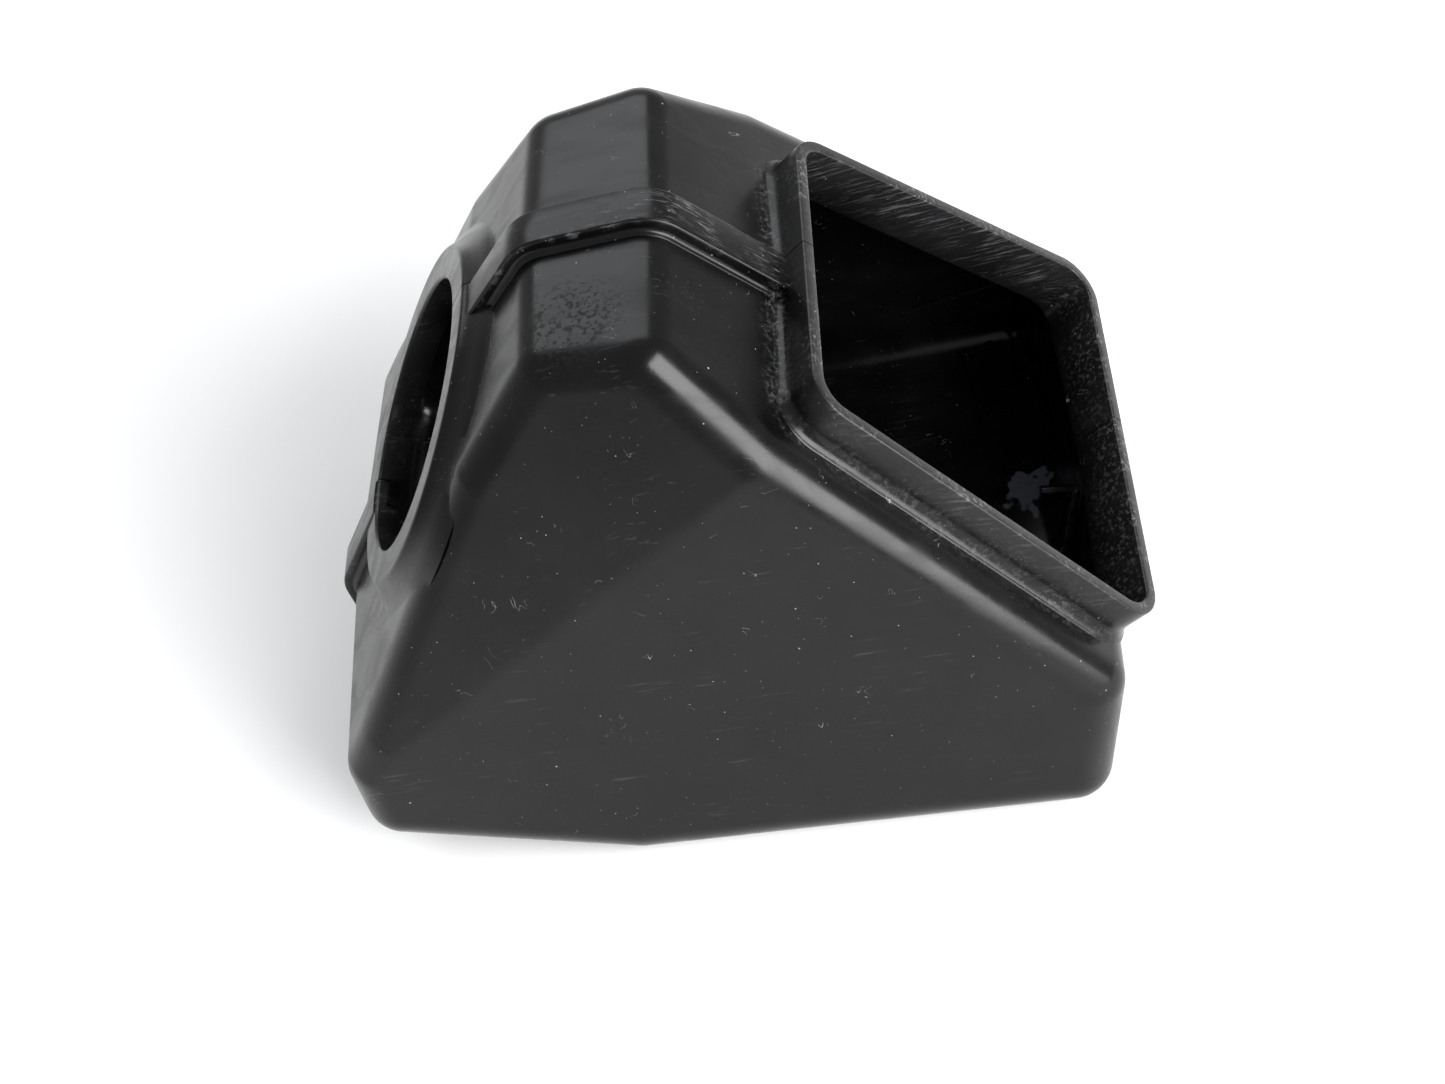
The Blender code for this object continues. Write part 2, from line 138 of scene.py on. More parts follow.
def sharp_section(side, start_y, across, inward):
    """A grid of points on the block with sharp edges: one row for each step of the outline.

    A row runs from the seam along the wall to the edge, then over the side face to the
    middle.  In the row's own plane, with r out from the centre and d the depth past the
    seam, the wall is r = min((D - N.p) / N.e) and the side face is d = min(...) likewise.
    """
    steps = outline_steps(across)
    e = np.stack([steps[:, 0] - CENTRE[0], 0 * steps[:, 0], steps[:, 1] - CENTRE[2]], 1)
    e = unit(e)
    wall_n, wall_d = wall_planes(side, DRAFT)
    face_n, face_d = face_planes(side)
    origin = np.array([CENTRE[0], start_y, CENTRE[2]])
    deep = np.array([0.0, float(side), 0.0])

    def wall_reach(depth):
        along = e @ wall_n.T
        room = wall_d - wall_n @ origin - depth[..., None] * (wall_n @ deep)
        reach = np.where(along > 1e-6, room / np.where(along > 1e-6, along, 1), np.inf)
        return reach.min(-1)

    def face_depth(reach):
        room = face_d - face_n @ origin - reach[..., None] * (e @ face_n.T)
        return (room / (face_n @ deep)).min(-1)

    depth = face_depth(wall_reach(np.zeros(len(e))))
    for _ in range(20):
        depth = face_depth(wall_reach(depth))
    edge = wall_reach(depth)
    first = np.linspace(0, 1, inward[0])
    first = np.sin(first * np.pi / 2) ** 1.3
    second = np.linspace(0, 1, inward[1] + 1)[1:]
    second = 1 - np.cos(second * np.pi / 2) ** 1.0
    rows = []
    for t in first:
        d = depth * t
        rows.append(origin + wall_reach(d)[:, None] * e + d[:, None] * deep)
    for t in second[:-1]:
        r = edge * (1 - t)
        rows.append(origin + r[:, None] * e + face_depth(r)[:, None] * deep)
    pole = origin + face_depth(np.zeros(len(e)))[:1, None] * deep
    return np.stack(rows, 1), pole


def grid_faces(rows, cols, start=0, turn=True):
    """Quads of a grid that closes on itself along its rows."""
    i, j = np.meshgrid(np.arange(rows), np.arange(cols - 1), indexing="ij")
    k = (i + 1) % rows
    quads = np.stack([i * cols + j, k * cols + j, k * cols + j + 1, i * cols + j + 1], -1)
    quads = quads.reshape(-1, 4) + start
    return quads if turn else quads[:, ::-1]


def fan(ring, pole):
    return np.stack([ring, np.roll(ring, -1), np.full(len(ring), pole)], 1)


def make_mesh(name, points, quads, triangles=(), caps=()):
    """A mesh from arrays of points, quads and triangles, with whole faces as caps."""
    faces = [tuple(q) for q in np.asarray(quads).tolist()]
    faces += [tuple(t) for t in np.asarray(triangles).tolist()] + [tuple(c) for c in caps]
    mesh = bpy.data.meshes.new(name)
    mesh.from_pydata(np.asarray(points).tolist(), [], faces)
    mesh.validate()
    piece = bpy.data.objects.new(name, mesh)
    bpy.context.scene.collection.objects.link(piece)
    bm = bmesh.new()
    bm.from_mesh(mesh)
    bmesh.ops.remove_doubles(bm, verts=bm.verts, dist=1e-7)
    bmesh.ops.recalc_face_normals(bm, faces=bm.faces)
    bm.to_mesh(mesh)
    bm.free()
    return piece


def half_chamber(name, side, across, outer, inner):
    """One half of the chamber: outer skin and inner skin joined by the wall's end face."""
    sharp, pole = sharp_section(side, SEAM[side], across, outer)
    out_skin = round_skin(sharp, side, EDGE_RADIUS)
    out_pole = round_skin(pole, side, EDGE_RADIUS)
    sharp_in, pole_in = sharp_section(side, SEAM[side], across, inner)
    in_skin = round_skin(sharp_in, side, EDGE_RADIUS - WALL)
    in_pole = round_skin(pole_in, side, EDGE_RADIUS - WALL)
    out_skin[:, 0, 1] = SEAM[side]
    in_skin[:, 0, 1] = SEAM[side]
    rows = len(out_skin)
    full = np.concatenate([out_skin[:, ::-1], in_skin], 1)
    cols = full.shape[1]
    points = np.vstack([full.reshape(-1, 3), out_pole.reshape(1, 3), in_pole.reshape(1, 3)])
    ring = np.arange(rows) * cols
    tris = np.vstack([fan(ring, rows * cols)[:, ::-1], fan(ring + cols - 1, rows * cols + 1)])
    return make_mesh(name, points, grid_faces(rows, cols), tris)


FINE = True
ACROSS = 460 if FINE else 300
OUTER_ROWS = (56, 60) if FINE else (40, 40)
INNER_ROWS = (30, 30) if FINE else (20, 20)
near_shell = half_chamber("near_half", -1, ACROSS, OUTER_ROWS, INNER_ROWS)
far_shell = half_chamber("far_half", 1, ACROSS, OUTER_ROWS, INNER_ROWS)

# ---- The lapped seam ---------------------------------------------------------------
# The near half ends in a raised lip that closes over the far half's edge, moulded in one
# with it.  It runs round everything but the flat base, proud of the walls by 2.9 mm.

LAP_GAP = 0.0004
LIP_THICKNESS = 0.0025
LIP_REACH = 0.0047
JOINT_GAP = 0.0003


def round_outline(points, radius):
    """Core points and outward directions of the outline at the seam, in the XZ plane."""
    normal, distance = wall_planes(-1, 0.0)
    flat = np.stack([points[:, 0], 0 * points[:, 0], points[:, 1]], 1)
    core = nearest_in_core(flat, normal, distance - EDGE_RADIUS)
    out = unit(flat - core)
    return core + radius * out, out


def arc(centre, radius, start, end, steps):
    """Points of an arc, from one angle in degrees to another."""
    a = np.radians(np.linspace(start, end, steps))
    return np.stack([centre[0] + radius * np.cos(a), centre[1] + radius * np.sin(a)], 1)


def sweep_closed_profile(name, places, caps=True):
    """A closed profile carried along an open path: places[path step, profile point]."""
    steps, around = places.shape[:2]
    i, j = np.meshgrid(np.arange(steps - 1), np.arange(around), indexing="ij")
    k = (j + 1) % around
    quads = np.stack([i * around + j, (i + 1) * around + j, (i + 1) * around + k,
                      i * around + k], -1).reshape(-1, 4)
    ends = [tuple(range(around)), tuple((steps - 1) * around + n for n in range(around))]
    return make_mesh(name, places.reshape(-1, 3), quads, (), ends if caps else ())


def seam_lip():
    """The lip: offset from the wall's surface against Y, swept round the outline."""
    top = LAP_GAP + LIP_THICKNESS
    end = LIP_REACH - JOINT_GAP / 2
    soft = 0.0006
    profile = np.vstack([
        [(-0.0012, SEAM[-1])],
        [(-0.0012, -LIP_REACH - 0.0012), (-0.0001, -LIP_REACH - 0.0012)],
        arc((0.0011, -LIP_REACH - 0.0011), 0.0011, 180, 90, 5),
        [(0.0012, -LIP_REACH - 0.00002)],
        arc((top - soft, -LIP_REACH + soft), soft, -90, 0, 5),
        arc((top - soft, end - soft), soft, 0, 90, 5),
        arc((LAP_GAP + 0.0002, end - 0.0002), 0.0002, 90, 180, 3),
        [(LAP_GAP, SEAM[-1])],
    ])
    steps = outline_steps(900)
    here, out = round_outline(steps, EDGE_RADIUS)
    keep = here[:, 2] > 0.0006
    steps = steps[keep]
    here, out = round_outline(steps, EDGE_RADIUS)
    places = here[:, None, :] + out[:, None, :] * profile[None, :, :1]
    places[..., 1] = profile[None, :, 1]
    places[..., 2] = np.maximum(places[..., 2], 0.0)
    return sweep_closed_profile("lip", places)


# ---- The round port ----------------------------------------------------------------
# A low boss stands round the port on the leaning wall.  It is a turned form, split
# between the halves at the seam, with a soft edge and a long flare down to the wall.

PORT_AXIS = np.array([-0.8261, 0.0, 0.56353])
PORT_UP = np.array([0.56353, 0.0, 0.8261])
PORT_CENTRE = np.array([-0.0801, 0.0, 0.08674])
PORT_RADIUS = 0.030
BOSS_RADIUS = 0.038
FEATURE_END = {-1: LIP_REACH - JOINT_GAP / 2, 1: LIP_REACH + JOINT_GAP / 2}


def turned(name, profile, side=None, steps=120):
    """A closed profile of radius and height, turned about the port's axis.

    With a side, each ring stops where it meets the seam: at radius r the angle from the
    seam's line runs from asin(y / r) to pi minus that.
    """
    r, h = profile[:, 0], profile[:, 1]
    t = np.linspace(0, 1, steps + 1)[:, None]
    if side is None:
        angle = 2 * np.pi * t[:-1] + 0 * r
    else:
        first = np.arcsin(np.clip(FEATURE_END[side] / r, -1, 1))
        angle = first + (np.pi - 2 * first) * t if side > 0 else (
            np.pi - first + (np.pi + 2 * first) * t)
    places = (PORT_CENTRE + PORT_AXIS * h[None, :, None]
              + PORT_UP * (np.cos(angle) * r)[..., None]
              + np.array([0.0, 1.0, 0.0]) * (np.sin(angle) * r)[..., None])
    if side is None:
        places = np.concatenate([places, places[:1]])
    return sweep_closed_profile(name, places, caps=side is not None)


def boss(side):
    """One half's ring round the port: a flat face, a soft edge, then a flare to the wall."""
    soft = 0.0014
    inner = PORT_RADIUS - 0.003
    profile = np.vstack([
        [(inner, -0.0052), (inner, 0.0)],
        arc((BOSS_RADIUS - soft, -soft), soft, 90, 30, 7),
        [(BOSS_RADIUS + 0.0012, -0.0019), (BOSS_RADIUS + 0.0030, -0.0029)],
        [(BOSS_RADIUS + 0.0052, -0.0042), (BOSS_RADIUS + 0.0075, -0.0062)],
    ])
    return turned(f"boss {side}", profile, side)


def port_cutter():
    """A round cutter that widens at the boss's face, so the port's edge comes out soft."""
    soft = 0.0007
    profile = np.vstack([
        [(0.00001, -0.016), (PORT_RADIUS, -0.016)],
        arc((PORT_RADIUS + soft, -soft), soft, 180, 90, 6),
        [(PORT_RADIUS + soft, 0.02), (0.00001, 0.02)],
    ])
    return turned("port", profile)


# ---- The mouth's collar ------------------------------------------------------------
# A collar 8 mm tall stands round the trapezium mouth on the slope.  Its rim is cut flat,
# and its foot runs into the wall with a small fillet.

SLOPE_DOWN = np.array([0.63742, 0.0, -0.77051])
SLOPE_OUT = np.array([0.77051, 0.0, 0.63742])
ACROSS_Y = np.array([0.0, 1.0, 0.0])
MOUTH_TOP = np.array([0.00455, 0.0, 0.10800])
COLLAR_LENGTH = 0.0935
WIDTH_TOP = 0.0744
WIDTH_FOOT = 0.1046
COLLAR_HEIGHT = 0.008
COLLAR_WALL = 0.0028
COLLAR_RADIUS = 0.006
CORNER = COLLAR_RADIUS + COLLAR_WALL


def mouth_path(steps=16):
    """The collar's outer corner arcs and straight runs, as points and outward directions.

    In the slope's own directions (down, across): every corner of the trapezium set in by
    the corner radius becomes an arc, and the runs between them stay straight.
    """
    corners = np.array([
        (0.0, WIDTH_TOP / 2), (COLLAR_LENGTH, WIDTH_FOOT / 2),
        (COLLAR_LENGTH, -WIDTH_FOOT / 2), (0.0, -WIDTH_TOP / 2),
    ])
    run = np.roll(corners, -1, axis=0) - corners
    out = np.stack([-run[:, 1], run[:, 0]], 1)
    out = unit(out)
    points, ways = [], []
    for i in range(4):
        before, after = out[i - 1], out[i]
        line = np.array([before, after])
        centre = np.linalg.solve(line, (line * corners[i]).sum(1) - CORNER)
        start = math.atan2(before[1], before[0])
        end = math.atan2(after[1], after[0])
        swing = (end - start + math.pi) % (2 * math.pi) - math.pi
        a = start + swing * np.linspace(0, 1, steps)
        way = np.stack([np.cos(a), np.sin(a)], 1)
        points.append(centre + CORNER * way)
        ways.append(way)
    points, ways = np.vstack(points), np.vstack(ways)
    fine_p, fine_w = [], []
    for i in range(len(points)):
        k = (i + 1) % len(points)
        gap = np.linalg.norm(points[k] - points[i])
        n = max(1, int(gap / 0.002))
        t = np.arange(n)[:, None] / n
        fine_p.append(points[i] * (1 - t) + points[k] * t)
        fine_w.append(ways[i] * (1 - t) + ways[k] * t)
    return np.vstack(fine_p), unit(np.vstack(fine_w))


def on_slope(down, across, height):
    return (MOUTH_TOP + SLOPE_DOWN * down[..., None] + ACROSS_Y * across[..., None]
            + SLOPE_OUT * height[..., None])


def collar(side):
    """Half the collar: its profile carried round the mouth between the two seam ends."""
    flat, way = mouth_path()
    end = FEATURE_END[side]
    mine = flat[:, 1] * side > end * side
    begin = np.where(mine & ~np.roll(mine, 1))[0][0]
    order = (begin + np.arange(mine.sum())) % len(flat)
    points, ways = flat[order], way[order]
    first, last = points[0].copy(), points[-1].copy()
    first[1] = last[1] = end
    points = np.vstack([first, points, last])
    ways = np.vstack([ways[0], ways, ways[-1]])
    soft = 0.0005
    foot = 0.0022
    profile = np.vstack([
        [(-COLLAR_WALL, -0.0034), (-COLLAR_WALL, COLLAR_HEIGHT - soft)],
        arc((-COLLAR_WALL + soft, COLLAR_HEIGHT - soft), soft, 180, 90, 5),
        arc((-soft, COLLAR_HEIGHT - soft), soft, 90, 0, 5),
        arc((foot, foot), foot, 180, 262, 8),
        [(foot + 0.0012, -0.0022), (0.0006, -0.0030)],
    ])
    q, h = profile[:, 0], profile[:, 1]
    down = points[:, :1] + ways[:, :1] * q
    across = points[:, 1:] + ways[:, 1:] * q
    fall = edge_fall(down, across)
    low = np.clip(1 - (h - 0.0) / 0.004, 0, 1)
    places = on_slope(down, across, h[None, :] - fall * low)
    return sweep_closed_profile(f"collar {side}", places)


def edge_fall(down, across):
    """How far the wall has curved away below the slope's plane, by the side face's round."""
    flat = on_slope(down, across, 0 * down)
    result = np.zeros(down.shape)
    for side in (-1, 1):
        skin = round_skin(flat, side, EDGE_RADIUS)
        drop = -((skin - MOUTH_TOP) @ SLOPE_OUT)
        result = np.where(flat[..., 1] * side > 0, np.maximum(drop, 0.0), result)
    return result


def mouth_cutter():
    """A prism through the slope wall, its sides inside the collar's own wall."""
    flat, way = mouth_path()
    inset = flat - way * (COLLAR_WALL - 0.0012)
    low = on_slope(inset[:, 0], inset[:, 1], np.full(len(inset), -0.012))
    high = on_slope(inset[:, 0], inset[:, 1], np.full(len(inset), 0.0070))
    n = len(inset)
    i = np.arange(n)
    quads = np.stack([i, (i + 1) % n, (i + 1) % n + n, i + n], 1)
    caps = [tuple(range(n)), tuple(range(n, 2 * n))]
    return make_mesh("mouth", np.vstack([low, high]), quads, (), caps)


# ---- Small features of the far half -------------------------------------------------
# Inside the far half are a thin straight rib, two pegs on the floor and the stub of the
# moulding gate.  A fixing hole goes through its side face.


def rod(name, foot, direction, radius, length, soft=0.0003, sides=28):
    """A round rod with a soft end: radius against height, turned about its own line."""
    profile = np.vstack([
        [(0.00001, -0.0015), (radius, -0.0015)],
        arc((radius - soft, length - soft), soft, 0, 90, 4),
        [(0.00001, length)],
    ])
    direction = unit(np.asarray(direction, float))
    helper = np.array([0.0, 1.0, 0.0]) if abs(direction[1]) < 0.8 else np.array([1.0, 0, 0])
    u = unit(np.cross(direction, helper))
    v = np.cross(direction, u)
    angle = np.linspace(0, 2 * np.pi, sides + 1)[:, None]
    r, h = profile[:, 0], profile[:, 1]
    places = (np.asarray(foot) + direction * h[None, :, None]
              + u * (np.cos(angle) * r)[..., None] + v * (np.sin(angle) * r)[..., None])
    return sweep_closed_profile(name, places, caps=False)


def rib():
    normal, distance = (a[1] for a in face_planes(1))
    x, z = 0.0375, 0.0235
    y = (distance - WALL - normal[0] * x - normal[2] * z) / normal[1]
    turn = math.radians(13.5)
    run = np.array([math.cos(turn), 0.0, math.sin(turn)])
    run = unit(run - normal * (run @ normal))
    side = np.cross(run, normal)
    t = np.linspace(-1, 1, 40)
    taper = np.sqrt(np.clip(1 - np.abs(t) ** 12, 0.1, 1))
    half = arc((0, 0), 1.0, 0, 180, 9)
    profile = np.vstack([[(1.0, -1.0)], half, [(-1.0, -1.0)]])
    places = (np.array([x, y, z]) + run * (t * 0.01525)[:, None, None]
              + side * (profile[:, 0] * 0.0005)[None, :, None]
              - normal * (profile[:, 1] * 0.0010 * taper[:, None])[..., None])
    return sweep_closed_profile("rib", places)


def fixing_cutter():
    normal, distance = (a[0] for a in face_planes(1))
    x, z = -0.0925, 0.0515
    y = (distance - normal[0] * x - normal[2] * z) / normal[1]
    foot = np.array([x, y, z]) - normal * 0.006
    return rod("fixing", foot, normal, 0.00325, 0.012)


def shape(piece, tool, operation):
    step = piece.modifiers.new(tool.name, "BOOLEAN")
    step.operation = operation
    step.solver = "EXACT"
    step.object = tool


def settle(piece):
    """Works the modifiers into the mesh, and shades it smooth up to its sharp edges."""
    view = bpy.context.evaluated_depsgraph_get()
    done = bpy.data.meshes.new_from_object(piece.evaluated_get(view))
    piece.modifiers.clear()
    piece.data = done
    done.shade_smooth()
    done.set_sharp_from_angle(angle=math.radians(38))


tools = [port_cutter(), mouth_cutter()]
for shell, side in ((near_shell, -1), (far_shell, 1)):
    ring, flare = collar(side), boss(side)
    tools += [ring, flare]
    if side < 0:
        lip = seam_lip()
        tools.append(lip)
        shape(shell, lip, "UNION")
    shape(shell, flare, "UNION")
    shape(shell, tools[0], "DIFFERENCE")
    shape(shell, tools[1], "DIFFERENCE")
    shape(shell, ring, "UNION")
small = [rib(), rod("peg a", (0.0373, 0.0655, WALL), (0, 0, 1), 0.0013, 0.0022),
         rod("peg b", (0.0436, 0.0668, WALL), (0, 0, 1), 0.0013, 0.0022),
         rod("gate", (0.0553, 0.0145, 0.0065), (-0.983, 0, 0.182), 0.0016, 0.005)]
hole = fixing_cutter()
for tool in small:
    shape(far_shell, tool, "UNION")
shape(far_shell, hole, "DIFFERENCE")
settle(near_shell)
settle(far_shell)
for tool in tools + small + [hole]:
    bpy.data.objects.remove(tool, do_unlink=True)

# ---- Wear on the halves ------------------------------------------------------------
# Handling leaves bright scratches on the rims and the seam's lip, and pale dust in the
# corner round the collar's foot.  Each is kept on the mesh as a value at every point.


def points_of(piece):
    """The mesh's points as rows of X, Y and Z."""
    places = np.empty(len(piece.data.vertices) * 3, np.float32)
    piece.data.vertices.foreach_get("co", places)
    return places.reshape(-1, 3).astype(float)


def bump_at(value, middle, width):
    """1 at the middle, falling to 0 over the width: exp(-((value - middle) / width)^2)."""
    return np.exp(-(((value - middle) / width) ** 2))


def mark_wear(piece):
    """Values from distances: q out from the collar's outside, h up from the slope, and
    the radius and height at the port."""
    at = points_of(piece)
    flat, way = mouth_path()
    down = (at - MOUTH_TOP) @ SLOPE_DOWN
    across = at[:, 1]
    h = (at - MOUTH_TOP) @ SLOPE_OUT
    gap = np.full(len(at), np.inf)
    q = np.zeros(len(at))
    for point, out in zip(flat[::2], way[::2]):
        dx, dy = down - point[0], across - point[1]
        far = dx * dx + dy * dy
        nearer = far < gap
        gap = np.where(nearer, far, gap)
        q = np.where(nearer, dx * out[0] + dy * out[1], q)
    side_gap = np.sqrt(gap)
    near_mouth = side_gap < 0.012
    rim = bump_at(h, COLLAR_HEIGHT, 0.0007) * near_mouth
    valley = bump_at(q, 0.0018, 0.0022) * bump_at(h, 0.0002, 0.0020) * near_mouth
    throat = bump_at(q, -COLLAR_WALL, 0.0006) * bump_at(h, COLLAR_HEIGHT, 0.0035) * near_mouth
    throat *= np.clip((across + 0.030) / 0.05, 0, 1) + bump_at(down, COLLAR_LENGTH, 0.006)
    r_vec = at - PORT_CENTRE
    height = r_vec @ PORT_AXIS
    r = np.linalg.norm(r_vec - height[:, None] * PORT_AXIS, axis=1)
    port = bump_at(r, PORT_RADIUS + 0.0006, 0.0008) * bump_at(height, 0.0, 0.0012)
    on_lip = (np.abs(at[:, 1] + 0.0001) < 0.0049) * 1.0
    wall_n, wall_d = wall_planes(-1, 0.0)
    proud = (at @ wall_n.T - wall_d).max(1)
    lip_edge = on_lip * np.clip((proud - 0.0012) / 0.0014, 0, 1) * (h < 0.006)
    for name, value in (
        ("rim_wear", np.clip(rim + port, 0, 1)),
        ("corner_dust", 0.5 * np.clip(valley, 0, 1)),
        ("throat_scuffs", 0.3 * np.clip(throat, 0, 1)),
        ("lip_scuffs", np.clip(lip_edge, 0, 1)),
    ):
        kept = piece.data.attributes.new(name, "FLOAT", "POINT")
        kept.data.foreach_set("value", value.astype(np.float32))


mark_wear(near_shell)
mark_wear(far_shell)

# ---- Black plastic -----------------------------------------------------------------
# Both halves are the same black moulding compound: satin, slightly uneven, with dust,
# lint and fine scuffs over it.


def new_group(name, inputs, outputs):
    """A shader node group with named number inputs and (name, kind) outputs."""
    group = bpy.data.node_groups.new(name, "ShaderNodeTree")
    for label, value in inputs:
        kind = "NodeSocketVector" if value is None else "NodeSocketFloat"
        socket = group.interface.new_socket(label, in_out="INPUT", socket_type=kind)
        if value is not None:
            socket.default_value = value
    for label, kind in outputs:
        group.interface.new_socket(label, in_out="OUTPUT", socket_type=f"NodeSocket{kind}")
    return group, group.nodes.new("NodeGroupInput").outputs, group.nodes.new("NodeGroupOutput").inputs


def give(tree, socket, value):
    if isinstance(value, bpy.types.NodeSocket):
        tree.links.new(value, socket)
    else:
        socket.default_value = value


def node(tree, kind, settings=None, **sockets):
    """Adds a node, with its settings, and with values or links on its named sockets."""
    made = tree.nodes.new(f"ShaderNode{kind}")
    for key, value in (settings or {}).items():
        setattr(made, key, value)
    for key, value in sockets.items():
        give(tree, made.inputs[key.replace("_", " ")], value)
    return made


def sum_of(tree, operation, *values, clamp=False):
    made = tree.nodes.new("ShaderNodeMath")
    made.operation = operation
    made.use_clamp = clamp
    for socket, value in zip(made.inputs, values):
        give(tree, socket, value)
    return made.outputs[0]


def ramp(tree, value, low, high, start=0.0, end=1.0):
    """Start below low, end above high, and smooth between."""
    made = node(tree, "MapRange", {"interpolation_type": "SMOOTHSTEP"}, Value=value)
    for label, number in (("From Min", low), ("From Max", high), ("To Min", start), ("To Max", end)):
        made.inputs[label].default_value = number
    return made.outputs["Result"]


def noise(tree, place, scale, detail=2.0, rough=0.5, distort=0.0):
    made = node(tree, "TexNoise", None, Vector=place, Scale=scale, Detail=detail,
                Roughness=rough, Distortion=distort)
    return made.outputs["Fac"]


def blend(tree, fac, a, b):
    made = tree.nodes.new("ShaderNodeMix")
    made.data_type = "RGBA"
    give(tree, made.inputs["Factor"], fac)
    give(tree, made.inputs[6], a)
    give(tree, made.inputs[7], b)
    return made.outputs[2]


def stretched(tree, place, turn, scale):
    made = node(tree, "Mapping", None, Vector=place, Rotation=turn, Scale=scale)
    return made.outputs["Vector"]


def moulded_group():
    """Uneven plastic: slow waves, fine grain, and satin patches between glossier ones."""
    tree, given, out = new_group(
        "moulded_plastic", (("Place", None), ("Waviness", 1.0), ("Grain", 1.0)),
        (("Mottle", "Float"), ("Smear", "Float"), ("Height", "Float")))
    place = given["Place"]
    slow = noise(tree, place, 22.0, 1.0)
    fine = noise(tree, place, 1900.0, 2.0)
    mottle = noise(tree, place, 60.0, 5.0, 0.62)
    smear = noise(tree, stretched(tree, place, (0.4, 0.2, 0.9), (40.0, 150.0, 70.0)), 1.0, 5.0, 0.6, 0.6)
    waves = sum_of(tree, "MULTIPLY", slow, sum_of(tree, "MULTIPLY", given["Waviness"], 1.0))
    grain = sum_of(tree, "MULTIPLY", fine, sum_of(tree, "MULTIPLY", given["Grain"], 0.012))
    tree.links.new(ramp(tree, mottle, 0.35, 0.7), out["Mottle"])
    tree.links.new(ramp(tree, smear, 0.38, 0.72), out["Smear"])
    tree.links.new(sum_of(tree, "ADD", waves, grain), out["Height"])
    return tree


def dust_group():
    """Specks of dust, short curled lint, and hairline scratches, as masks."""
    tree, given, out = new_group(
        "dust_and_scratches", (("Place", None), ("Specks", 1.0), ("Scratches", 1.0)),
        (("Dust", "Float"), ("Scratch", "Float")))
    place = given["Place"]
    total = None
    for scale, size, chance in ((330.0, 0.060, 0.62), (820.0, 0.085, 0.80), (150.0, 0.040, 0.55)):
        cells = node(tree, "TexVoronoi", None, Vector=place, Scale=scale)
        kept = ramp(tree, node(tree, "SeparateColor", None, Color=cells.outputs["Color"]).outputs["Red"],
                    chance, chance + 0.05)
        spot = ramp(tree, cells.outputs["Distance"], size * 0.5, size, 1.0, 0.0)
        speck = sum_of(tree, "MULTIPLY", kept, spot)
        total = speck if total is None else sum_of(tree, "MAXIMUM", total, speck)
    bend = noise(tree, place, 120.0, 1.0, 0.5, 2.2)
    curl = sum_of(tree, "ABSOLUTE", sum_of(tree, "SUBTRACT", bend, 0.5))
    strand = ramp(tree, curl, 0.0012, 0.0032, 1.0, 0.0)
    some = ramp(tree, noise(tree, place, 190.0, 0.0), 0.75, 0.77)
    lint = sum_of(tree, "MULTIPLY", strand, some)
    dust = sum_of(tree, "MAXIMUM", total, sum_of(tree, "MULTIPLY", lint, 0.8))
    lines = None
    for turn, scale in (
        ((0.3, 0.9, 0.2), (45.0, 2600.0, 900.0)),
        ((1.1, 0.2, 1.4), (60.0, 2200.0, 1400.0)),
    ):
        line = noise(tree, stretched(tree, place, turn, scale), 1.0, 1.0)
        line = ramp(tree, line, 0.66, 0.74)
        lines = line if lines is None else sum_of(tree, "MAXIMUM", lines, line)
    where = ramp(tree, noise(tree, place, 75.0, 3.0, 0.6), 0.50, 0.72)
    scratch = sum_of(tree, "MULTIPLY", lines, where)
    tree.links.new(sum_of(tree, "MULTIPLY", dust, given["Specks"], clamp=True), out["Dust"])
    tree.links.new(sum_of(tree, "MULTIPLY", scratch, given["Scratches"], clamp=True), out["Scratch"])
    return tree


def scuff_group():
    """Worn places: a mask from a mesh value, broken up by streaks and powder."""
    tree, given, out = new_group(
        "scuffed_edges",
        (("Place", None), ("Rim", 0.0), ("Corner", 0.0), ("Throat", 0.0), ("Lip", 0.0)),
        (("Scuff", "Float"), ("Powder", "Float")))
    place = given["Place"]
    streak = noise(tree, stretched(tree, place, (0.0, 0.88, 0.0), (70.0, 900.0, 1500.0)), 1.0, 4.0, 0.7)
    broken = ramp(tree, streak, 0.50, 0.66)
    patch = ramp(tree, noise(tree, place, 85.0, 3.0, 0.6), 0.42, 0.62)
    worn = sum_of(tree, "MULTIPLY", broken, patch)
    along_lip = stretched(tree, place, (0.0, 0.3, 0.0), (240.0, 1900.0, 240.0))
    lip_streak = ramp(tree, noise(tree, along_lip, 1.0, 4.0, 0.75), 0.50, 0.70)
    lip = sum_of(tree, "MULTIPLY", lip_streak, sum_of(tree, "MULTIPLY", given["Lip"], patch))
    rim = sum_of(tree, "MULTIPLY", given["Rim"], sum_of(tree, "MULTIPLY_ADD", worn, 0.8, 0.1))
    throat = sum_of(tree, "MULTIPLY", given["Throat"], broken)
    scuff = sum_of(tree, "ADD", sum_of(tree, "ADD", rim, lip), throat, clamp=True)
    powder = ramp(tree, noise(tree, place, 900.0, 5.0, 0.75), 0.46, 0.66)
    clumps = ramp(tree, noise(tree, place, 130.0, 3.0, 0.6), 0.36, 0.62)
    loose = sum_of(tree, "MULTIPLY", powder, clumps)
    heap = sum_of(tree, "MULTIPLY", loose, given["Corner"], clamp=True)
    tree.links.new(scuff, out["Scuff"])
    tree.links.new(heap, out["Powder"])
    return tree


moulded, dusty, scuffed = moulded_group(), dust_group(), scuff_group()


def grouped(tree, group, **sockets):
    made = tree.nodes.new("ShaderNodeGroup")
    made.node_tree = group
    for key, value in sockets.items():
        give(tree, made.inputs[key], value)
    return made.outputs


